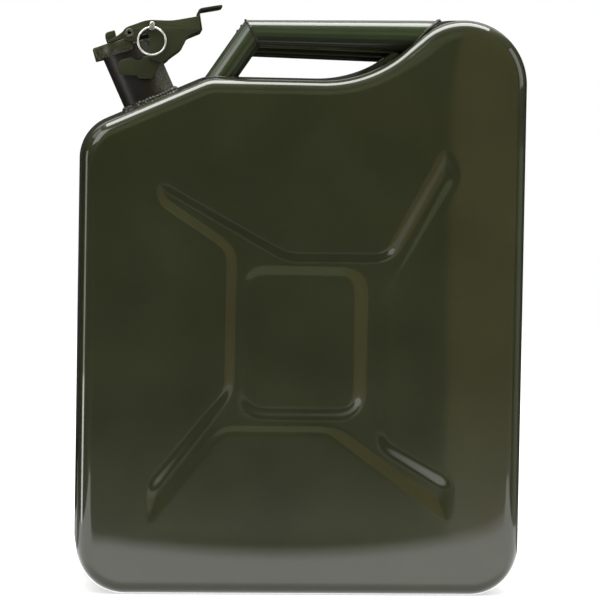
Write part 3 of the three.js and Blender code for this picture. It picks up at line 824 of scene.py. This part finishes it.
def pipe(name, path, outer, inner):
    """A hollow pipe along a path that stays in a plane of constant y."""
    ahead = unit(np.gradient(path, axis=0))
    turn = full_turn(32)
    rings = []
    route = list(range(len(path)))
    for radius, walk in ((outer, route), (inner, route[::-1])):
        for i in walk:
            rings.append(path[i] + round_points(turn, (0, 1, 0), np.cross(ahead[i], (0, 1, 0)), radius))
    return loft(name, rings, closed_rings=True)


add_spout()

# ---- hinge ears on the spout ----
BRACKET_OUT = 24.0
HINGE_PIN_R = 1.75
PLAY = 0.25
EAR = [(-146, 403.6, 6), (-130.5, 403.2, 1.2), (-129.5, 400.8, 1.2), (-118.4, 401, 1.5),
       (-116.5, 405, 1.5), (-112, 414.5, 4), (-104.5, 417.5, 4), (-104, 425.2, 4.5), (-112, 425.6, 4.5),
       (-116, 419, 3), (-125.2, 418.8, 0.8), (-127.6, 415.4, 2.5), (-132.2, 415.2, 2.5),
       (-134.8, 418.2, 0.8), (-146, 414.6, 5)]


def bar_y(name, profile, centre, segments=48):
    """A turned pin along Y: profile is a closed outline of (radius, y)."""
    across = Matrix.Translation((centre[0], 0, centre[2])) @ Matrix.Rotation(-math.pi / 2, 4, "X")
    return lathe(name, profile, across, segments, 0.2)


def add_hinge():
    ear = plate("spout_ear_near", rounded_profile(EAR, 1, 8), -BRACKET_OUT, -NECK_R + 0.8,
                holes=[(HINGE.x, HINGE.z, HINGE_PIN_R + PLAY)], edge=0.45)
    far_ear = mirrored(ear, "spout_ear_far")
    finish_piece(ear, HARDWARE, "can", "neck_bracket_near")
    finish_piece(far_ear, HARDWARE, "can", "neck_bracket_far")
    end = BRACKET_OUT + 0.4
    plain = [(0.02, -end), (HINGE_PIN_R, -end, 0.3), (HINGE_PIN_R, end, 0.3), (0.02, end)]
    finish_piece(bar_y("hinge_pin", plain, HINGE), STEEL, "can", "lid_hinge_pin")


add_hinge()

# ---- lid ----
LID_R = 24.0
LID_WALL = 0.8
LID_TOP = 2.7
LID_ROOF = 1.5
SKIRT_FOOT = -7.7
SKIRT_REAR_X = 6.0
LIP_REACH = 26.2
LIP_HALF = 11.0
LIP = [(-LIP_REACH, -LIP_HALF, 5), (0, -LIP_HALF), (0, LIP_HALF), (-LIP_REACH, LIP_HALF, 5)]
ARM_IN = 12.5
ARM_OUT = 16.0
RIVET_X = -1.5
RIVET_R = 2.5
hinge_in_lid = lid_frame.inverted() @ HINGE
pivot_in_lid = lid_frame.inverted() @ PIVOT
LID_SIDES = 192
LID_HOLE = 2.8
SHOULDER_BEND = 1.5


def reach_of(loop, turn):
    """How far a loop round the origin reaches in a direction."""
    heading = np.array((math.cos(turn), math.sin(turn)))
    best = 0.0
    for a, b in zip(loop, np.roll(loop, -1, axis=0)):
        edge = b - a
        cross = heading[0] * edge[1] - heading[1] * edge[0]
        if abs(cross) < 1e-9:
            continue
        along = (a[0] * edge[1] - a[1] * edge[0]) / cross
        across = (a[0] * heading[1] - a[1] * heading[0]) / cross
        if along > 0 and -1e-6 <= across <= 1 + 1e-6:
            best = max(best, along)
    return best


def lid_cup():
    """Pressed cup: flat top, rounded shoulder, short skirt with a lip in front and open behind."""
    lip = rounded_profile(LIP, 0.5, 8)
    turns = full_turn(LID_SIDES)
    reach = np.array([max(LID_R, reach_of(lip, turn)) for turn in turns])
    reach = (np.roll(reach, 1) + 2 * reach + np.roll(reach, -1)) / 4
    rings = []
    for turn, rim in zip(turns, reach):
        heading = np.array((math.cos(turn), math.sin(turn)))
        x_here = rim * heading[0]
        open_rear = float(smoothstep((x_here - SKIRT_REAR_X + 3) / 5))
        foot = SKIRT_FOOT + open_rear * (LID_ROOF - 0.2 - SKIRT_FOOT)
        flat = rim - SHOULDER_BEND
        profile = [(LID_HOLE, LID_ROOF), (LID_HOLE, LID_TOP)]
        profile += [(LID_HOLE + (flat - LID_HOLE) * t, LID_TOP) for t in (0.3, 0.6, 0.9, 1.0)]
        for angle in np.radians((20, 40, 60, 80)):
            sag = SHOULDER_BEND * (1 - math.cos(angle))
            profile.append((flat + SHOULDER_BEND * math.sin(angle), LID_TOP - sag))
        base = min(foot + 0.25, LID_TOP - SHOULDER_BEND)
        roof_edge = rim - LID_WALL
        profile += [(rim, base), (rim - 0.2, min(foot, base)), (roof_edge + 0.2, min(foot, base)),
                    (roof_edge, base), (roof_edge, LID_ROOF - 0.9 * (1 - open_rear)),
                    (roof_edge - 0.3, LID_ROOF - 0.25 * (1 - open_rear)), (roof_edge - 0.9, LID_ROOF),
                    (LID_HOLE + 4, LID_ROOF)]
        ring = []
        for r, z in profile:
            inner = 1 - min(1.0, max(0.0, (r - LID_HOLE) / (LID_R - LID_HOLE)))
            ring.append((r * heading[0] + RIVET_X * inner, r * heading[1], z))
        rings.append(place(ring, lid_frame))
    return loft("lid_cup", rings, closed_rings=True)


def lid_plate(name, outline, y0, y1, holes, edge):
    """A plate across Y given in the lid's frame."""
    obj = plate(name, outline, y0, y1, holes, edge)
    obj.data.transform(frame_matrix(MOUTH * MM, LID_TILT))
    return obj


ARM = [(12, LID_ROOF, 0.2), (25.4, LID_ROOF, 1), (25.2, hinge_in_lid.z, 3.5),
       (27, hinge_in_lid.z - 3.6, 2), (31.8, hinge_in_lid.z - 2.6, 3.5), (31.8, hinge_in_lid.z + 6, 4),
       (30.4, LID_TOP, 5), (12, LID_TOP, 0.2)]


def add_lid():
    cup = lid_cup()
    hole = [(hinge_in_lid.x, hinge_in_lid.z, HINGE_PIN_R + PLAY)]
    arm = lid_plate("lid_arm", rounded_profile(ARM, 1, 6), -ARM_OUT, -ARM_IN, hole, 0.5)
    far_arm = mirrored(arm, "lid_arm_far")
    finish_piece(join("lid_shell", [cup, arm, far_arm]), HARDWARE, "lid", "lid_cap")
    seal = [(17.6, -0.7, 0.5), (22.4, -0.7, 0.5), (22.4, 1.2, 0.3), (17.6, 1.2, 0.3)]
    finish_piece(lathe("lid_seal", seal, lid_frame, 128), RUBBER, "lid", "lid_gasket")
    dish = [(2.8, -1.6), (15, -1.6, 1.5), (17.2, -0.2, 0.6), (17.2, 1.2), (2.8, 1.2)]
    finish_piece(lathe("seal_retainer", dish, lid_frame, 96), STEEL, "lid", "gasket_retainer")
    shank = [(0.02, -3.6), (3.2, -3.6, 1.2), (4.6, -2.6, 0.8), (4.6, -1.9), (RIVET_R, -1.9), (RIVET_R, 4.7),
             (2.2, 5.4, 0.5), (0.02, 5.7)]
    axis = lid_frame @ Matrix.Translation((RIVET_X, 0, 0))
    finish_piece(lathe("lid_rivet_turned", shank, axis, 48), STEEL, "lid", "lid_rivet")


add_lid()

# ---- strap and pivot on the lid ----
EAR_IN = 20.9
EAR_OUT = 22.9
SADDLE_SHEET = 1.3
ROLL = (-9.3, 7.6)
ROLL_R = 4.3
PIVOT_R = 2.2
PIVOT_BORE_R = 1.4
FLANGE_R = 3.5
FLANGE_FROM = 26.8
FLANGE_TO = 27.6


def add_saddle():
    foot = LID_TOP + 0.05
    ear = [(-12, foot, 0.8), (9.5, foot, 3), (9.8, 8.4, 4), (4, 10.2, 4), (-3, 6.5, 4), (-12, 4.5, 0.8)]
    ears = lid_plate("saddle_ear", rounded_profile(ear, 1, 6), -EAR_OUT, -EAR_IN,
                     [(pivot_in_lid.x, pivot_in_lid.z, PIVOT_R + PLAY)], 0.4)
    far_ears = mirrored(ears, "saddle_ear_far")
    strap = [(-13.2, foot), (1.8, foot), (1.8, foot + SADDLE_SHEET), (-13.2, foot + SADDLE_SHEET)]
    base = lid_plate("saddle_base", rounded_profile(strap, 0.4, 4), -20.3, 20.3, (), 0.5)
    block = [(-ROLL_R, -3.4, 1.4), (-ROLL_R, ROLL_R, 3.2), (ROLL_R, ROLL_R, 1.0), (ROLL_R - 0.4, -3.4, 1.4)]
    roll = lid_plate("saddle_roll", rounded_profile(block, 1, 8) + ROLL, -10.5, 10.5, (), 0.9)
    upright_web = [(-12.4, foot), (-6.6, foot), (-6.4, 8), (-12.2, 8)]
    web = lid_plate("saddle_web", rounded_profile(upright_web, 0.6, 4), -9.8, 9.8, (), 0.3)
    finish_piece(join("lid_strap", [ears, far_ears, base, roll, web]), HARDWARE, "lid", "lid_saddle")
    barrel = [(PIVOT_BORE_R, -FLANGE_TO, 0.5), (FLANGE_R, -FLANGE_TO, 0.5), (FLANGE_R, -FLANGE_FROM, 0.3),
              (PIVOT_R, -FLANGE_FROM), (PIVOT_R, FLANGE_FROM), (FLANGE_R, FLANGE_FROM, 0.3),
              (FLANGE_R, FLANGE_TO, 0.5), (PIVOT_BORE_R, FLANGE_TO, 0.5)]
    finish_piece(bar_y("lever_pivot_barrel", barrel, PIVOT, 64), PIVOT_STEEL, "lid", "lever_pivot_pin")


add_saddle()

# ---- lever, safety pin and ring ----
CHEEK_IN = 24.4
CHEEK_OUT = 26.4
TAB_HALF = 19.0
LOCK_PIN_R = 1.3
RING_R = 10.9
WIRE_R = 0.82
RING_Y = -29.0
COILS = 2
TAB_THICK = 1.7
TAB_CORNER = 5.0
TAB_STEP = 0.8
CHEEK = [(-142.8, 433.4, 3.2), (-141.8, 440.4, 5), (-123.2, 447.4, 4.5), (-103.4, 447.2, 5),
         (-82, 451.4, 0.8), (-79.8, 440.4, 1.2), (-90.9, 435.6, 2.2), (-94.8, 426.5, 3),
         (-103.8, 419.8, 2.5), (-110.8, 413.2, 2), (-122.5, 417.8, 2), (-120.6, 424, 2.5),
         (-120.4, 431, 3), (-122.3, 436.6, 2.1), (-126.5, 436.2, 2.1), (-131.5, 430.2, 3.2),
         (-138.8, 430.3, 2.6)]
END_WALL = [(-79.5, 440.4), (-81.5, 452.2), (-83.0, 452.0), (-81.1, 440.1)]
TAB_PATH = [(-80.6, 441.5), (-82.3, 455.2), (-81.6, 456.9), (-79.6, 457.6), (-63.6, 460.6)]


def add_lever():
    holes = [(PIVOT.x, PIVOT.z, PIVOT_R + PLAY), (LOCK.x, LOCK.z, LOCK_PIN_R + PLAY)]
    cheek = plate("lever_cheek", rounded_profile(CHEEK, 1, 8), -CHEEK_OUT, -CHEEK_IN, holes, 0.35)
    far_cheek = mirrored(cheek, "lever_cheek_far")
    wall = plate("lever_end", rounded_profile(END_WALL, 0.3, 3), -CHEEK_OUT, CHEEK_OUT, (), 0.3)
    finish_piece(join("lever_body", [cheek, far_cheek, wall, thumb_tab()]), HARDWARE, "lever", "lever")


def thumb_tab():
    """Sheet tab bent over from the end wall, with rounded outer corners."""
    path = resample(np.array([(x, 0.0, z) for x, z in TAB_PATH]), TAB_STEP, closed=False)
    for _ in range(3):
        path[1:-1] = (path[:-2] + 2 * path[1:-1] + path[2:]) / 4
    ahead = unit(np.gradient(path, axis=0))
    rings = []
    for i, point in enumerate(path):
        into_corner = max(0.0, TAB_CORNER - (len(path) - 1 - i) * TAB_STEP)
        half = TAB_HALF - TAB_CORNER + math.sqrt(TAB_CORNER ** 2 - into_corner ** 2)
        up = TAB_THICK / 2
        section = rounded_profile([(-half, -up), (half, -up), (half, up), (-half, up)], 0.35, 3)
        over = np.cross(ahead[i], (0, 1, 0))
        rings.append(point + np.outer(section[:, 0], (0, 1, 0)) + np.outer(section[:, 1], over))
    return loft("lever_tab", rings, smooth_angle=35)


def add_pin_and_ring():
    shank = [(0.02, 29.6), (0.7, 29.6, 0.4), (LOCK_PIN_R, 28.4, 0.6), (LOCK_PIN_R, -FLANGE_FROM),
             (2.1, -FLANGE_FROM, 0.2), (2.3, -27.4, 0.6), (2.3, -30.6, 0.9), (1.6, -31.2, 0.5), (0.02, -31.3)]
    pin = bar_y("locking_pin_shank", shank, LOCK, 64)
    lug = [(-2.1, 2.4, 2), (-2.1, -2.3, 2), (2.1, -2.3, 2), (2.1, 2.4, 2)]
    outline = rounded_profile(lug, 1, 8) + (EYE.x, EYE.z)
    sides = [plate("pin_lug_side", outline, y0, y1, (), 0.3) for y0, y1 in ((-31, -29.9), (-28.1, -27))]
    finish_piece(join("locking_pin", [pin, *sides]), PIN_STEEL, "safety_pin", "safety_pin")

    centre = np.array((EYE.x, RING_Y, EYE.z - RING_R))
    turns = np.linspace(0, 2 * math.pi * COILS, 130 * COILS + 1)
    path = []
    for angle in turns:
        pitch = (angle / turns[-1] - 0.5) * 1.9 * WIRE_R
        path.append(centre + (RING_R * math.sin(angle), pitch, RING_R * math.cos(angle)))
    turn = full_turn(14)
    rings = []
    for i, point in enumerate(path):
        outward = unit((point - centre) * (1, 0, 1))
        blunt = (0.55, 0.88, 1.0)[min(i, len(path) - 1 - i, 2)]
        rings.append(point + round_points(turn, outward, (0, 1, 0), blunt * WIRE_R))
    finish_piece(loft("pull_ring_coil", rings), BRIGHT, "ring", "split_ring")


add_lever()
add_pin_and_ring()

# ---- floor, lights, camera ----
scene = bpy.context.scene
scene.view_settings.view_transform = "Standard"
scene.view_settings.look = "None"

# The lit table top's front edge curves by TABLE_CURVE; it fades out between the two distances in TABLE_EDGE.
TABLE_CURVE = 3.8
TABLE_EDGE = [(0.235, 1.0), (0.33, 0.0)]
TABLE_GLOW = 2.75
CARD_FOOT = -0.36


def flat_material(name, color, glow=0.0):
    """Matt stage paint that may glow."""
    n = Nodes(name, "stage")
    n.drive("Base Color", n.ramp(n.noise(3, 2, 0.5), [(0.3, tuple(c * 0.985 for c in color)), (0.7, color)]))
    n.steady(Roughness=0.8, Emission_Color=(1, 1, 1, 1), Emission_Strength=glow)
    return n.material


def stage_piece(name, mesh, material):
    mesh.materials.append(material)
    obj = linked(name, mesh)
    return obj


def sheet(name, x0, x1, y0, y1, z, material):
    """A level rectangle of stage, finely enough divided for even shading."""
    grid = bmesh.new()
    bmesh.ops.create_grid(grid, x_segments=8, y_segments=8, size=0.5)
    bmesh.ops.scale(grid, vec=(x1 - x0, y1 - y0, 1), verts=grid.verts)
    bmesh.ops.translate(grid, vec=((x0 + x1) / 2, (y0 + y1) / 2, z), verts=grid.verts)
    return stage_piece(name, to_mesh(name, grid), material)


def upright(name, start, end, z0, z1, material):
    """A standing rectangle of stage over the floor line from start to end."""
    mesh = bpy.data.meshes.new(name)
    mesh.from_pydata([(*start, z0), (*end, z0), (*end, z1), (*start, z1)], [], [(0, 1, 2, 3)])
    return stage_piece(name, mesh, material)


def mirrored_only(obj):
    """Seen in glossy surfaces and nowhere else."""
    obj.visible_camera = False
    obj.visible_diffuse = False
    obj.visible_shadow = False
    obj.visible_transmission = False


def table_material():
    """A glowing table, brighter at grazing angles: clear past its curved front edge, dim behind the can."""
    n = Nodes("table_top", "stage")
    spot = n.split(n.place)
    square = n.maths("MULTIPLY", spot["X"], spot["X"])
    edge = n.maths("MULTIPLY_ADD", square, -TABLE_CURVE, n.maths("ABSOLUTE", spot["Y"]))
    n.drive("Alpha", n.grey(edge, TABLE_EDGE))
    grazing = n.add("ShaderNodeLayerWeight", Blend=0.5).outputs["Facing"]
    n.drive("Emission Color", n.grey(grazing, [(0.0, 0.38), (0.35, 0.58), (0.60, 0.93), (0.82, 1.0)]))
    behind = n.maths("ADD", spot["Y"], 0.5)
    n.drive("Emission Strength", n.grey(behind, [(0.50, TABLE_GLOW), (0.60, TABLE_GLOW * 0.10)]))
    n.steady(Base_Color=(0, 0, 0, 1), Specular_IOR_Level=0.0)
    return n.material


def graded_material(name, stops):
    """A card whose glow changes with height; stops are (metres above CARD_FOOT, colour)."""
    n = Nodes(name, "stage")
    height = n.maths("ADD", n.split(n.place)["Z"], -CARD_FOOT)
    n.drive("Emission Color", n.ramp(height, stops))
    n.steady(Base_Color=(0, 0, 0, 1), Emission_Strength=1.0)
    return n.material


def add_surroundings():
    """The floor, and the room the enamel mirrors: table top, dark ground, dark back and graded front."""
    floor = sheet("floor", -4.5, 4.5, -4.5, 4.5, 0, flat_material("pale_floor", (0.58, 0.58, 0.58), 0.48))
    floor.visible_glossy = False
    mirrored_only(sheet("table_top", -0.6, 0.6, -0.9, 0.9, 0.0002, table_material()))
    dark = flat_material("dark_room", (0.004, 0.004, 0.004))
    mirrored_only(sheet("room_floor", -2.2, 2.2, -2.05, 2.05, CARD_FOOT, dark))
    mirrored_only(upright("room_back", (-2.2, 1.2), (2.2, 1.2), CARD_FOOT, 1.15, dark))
    mirrored_only(upright("room_left", (-2.1, 0.05), (-2.1, 1.2), CARD_FOOT, 1.15, dark))
    levels = [(0, 0.0), (0.09, 0.30), (0.125, 0.48), (0.15, 0.42), (0.21, 0.30), (0.31, 0.16), (0.40, 0.10)]
    front = graded_material("front_light", [(z, (level, level, level * 0.95)) for z, level in levels])
    mirrored_only(upright("front_card", (-2.2, -2.12), (2.2, -2.12), CARD_FOOT, 0.06, front))
    upper = graded_material("upper_light", [(0, (0.40, 0.48, 0.32)), (1, (0.40, 0.48, 0.32))])
    mirrored_only(upright("upper_card", (-1.5, -2.12), (0.5, -2.12), 0.68, 1.6, upper))
    warm = graded_material("warm_light", [(0, (1.0, 0.93, 0.75)), (0.15, (1.0, 0.93, 0.75)),
                                          (0.26, (0.68, 0.60, 0.44)), (0.42, (0.47, 0.35, 0.18))])
    mirrored_only(upright("warm_card", (0.406, -2.08), (2.0, -2.08), CARD_FOOT, 2.2, warm))


def add_area(name, location, target, width, height, radiance, color=(1, 1, 1), lights=True, shows=True):
    """A softbox of given radiance; it may only light matt surfaces, or only show in glossy ones."""
    light = bpy.data.lights.new(name, "AREA")
    light.shape = "RECTANGLE"
    light.size = width
    light.size_y = height
    light.energy = radiance * width * height * math.pi
    light.color = color
    obj = linked(name, light)
    obj.location = location
    obj.rotation_euler = (Vector(target) - Vector(location)).to_track_quat("-Z", "Y").to_euler()
    obj.visible_camera = False
    obj.visible_diffuse = lights
    obj.visible_glossy = shows
    return obj


def add_world():
    """White where the camera looks past the floor, dim grey in reflections and as fill light."""
    world = bpy.data.worlds.new("studio")
    scene.world = world
    world.use_nodes = True
    tree = world.node_tree
    dim = tree.nodes["Background"]
    dim.inputs["Color"].default_value = (0.10, 0.10, 0.095, 1)
    white = tree.nodes.new("ShaderNodeBackground")
    white.inputs["Color"].default_value = (1, 1, 1, 1)
    mix = tree.nodes.new("ShaderNodeMixShader")
    path = tree.nodes.new("ShaderNodeLightPath")
    tree.links.new(path.outputs["Is Camera Ray"], mix.inputs["Fac"])
    tree.links.new(dim.outputs[0], mix.inputs[1])
    tree.links.new(white.outputs[0], mix.inputs[2])
    tree.links.new(mix.outputs[0], tree.nodes["World Output"].inputs["Surface"])


def add_side_card(name, y0, y1, z0, z1, x, radiance, color=(1, 1, 1)):
    """An upright card facing the can from the left or right, seen only in glossy surfaces."""
    y, z = (y0 + y1) / 2, (z0 + z1) / 2
    add_area(name, (x, y, z), (0, y, z), y1 - y0, z1 - z0, radiance, color, lights=False)


def add_lights():
    add_area("ceiling", (0, 0, 5), (0, 0, 0), 12, 12, 2.3, shows=False)
    add_area("top_light", (0, -0.1, 1.9), (0, -0.1, 0), 1.3, 1.3, 5, shows=False)
    add_area("top_sheen", (0, 0.03, 1.95), (0, 0.03, 0), 2.0, 0.90, 10.5, lights=False)
    add_area("rear_sheen", (0, 2.0, 2.2), (0, 0, 0.3), 4, 1.9, 0.9, lights=False)
    add_area("corner_sheen", (-1.35, -0.15, 1.5), (0, -0.15, 0.2), 1.0, 0.5, 1.6, lights=False)
    add_area("key_softbox", (-1.35, -1.3, 1.55), (0, 0, 0.35), 1.1, 1.0, 4.2, lights=False)
    add_side_card("left_low", -0.44, 0.02, -0.55, 0.05, -1.9, 9)
    add_side_card("left_high", -0.44, 0.02, 0.05, 0.75, -1.9, 3.0)
    add_side_card("right_low", -0.9, 0.3, -0.3, 0.4, 1.9, 0.45, (0.85, 1, 0.7))
    add_side_card("right_high", -1.3, -0.1, 0.5, 1.7, 1.9, 2.2)


CAMERA_DISTANCE = 2.0
CAMERA_TURN = math.radians(-4.5)
CAMERA_HEIGHT = 0.300
CAMERA_ROLL = math.radians(1.0)
CAMERA_AIM = Vector((0.0036, 0, 0.227))
VIEW_WIDTH = 0.483481


def add_camera():
    """A long lens aimed at the can's middle, which sees VIEW_WIDTH metres across there."""
    data = bpy.data.cameras.new("camera")
    camera = linked("camera", data)
    data.sensor_width = 36
    data.lens = data.sensor_width * CAMERA_DISTANCE / VIEW_WIDTH
    heading = Vector((math.sin(CAMERA_TURN), -math.cos(CAMERA_TURN), 0))
    eye = CAMERA_DISTANCE * heading + Vector((0, 0, CAMERA_HEIGHT))
    look = (CAMERA_AIM - eye).to_track_quat("-Z", "Y").to_matrix().to_4x4()
    camera.matrix_world = Matrix.Translation(eye) @ look @ Matrix.Rotation(CAMERA_ROLL, 4, "Z")
    data.clip_start = 0.05
    data.clip_end = 50
    scene.camera = camera


add_surroundings()
add_world()
add_lights()
add_camera()
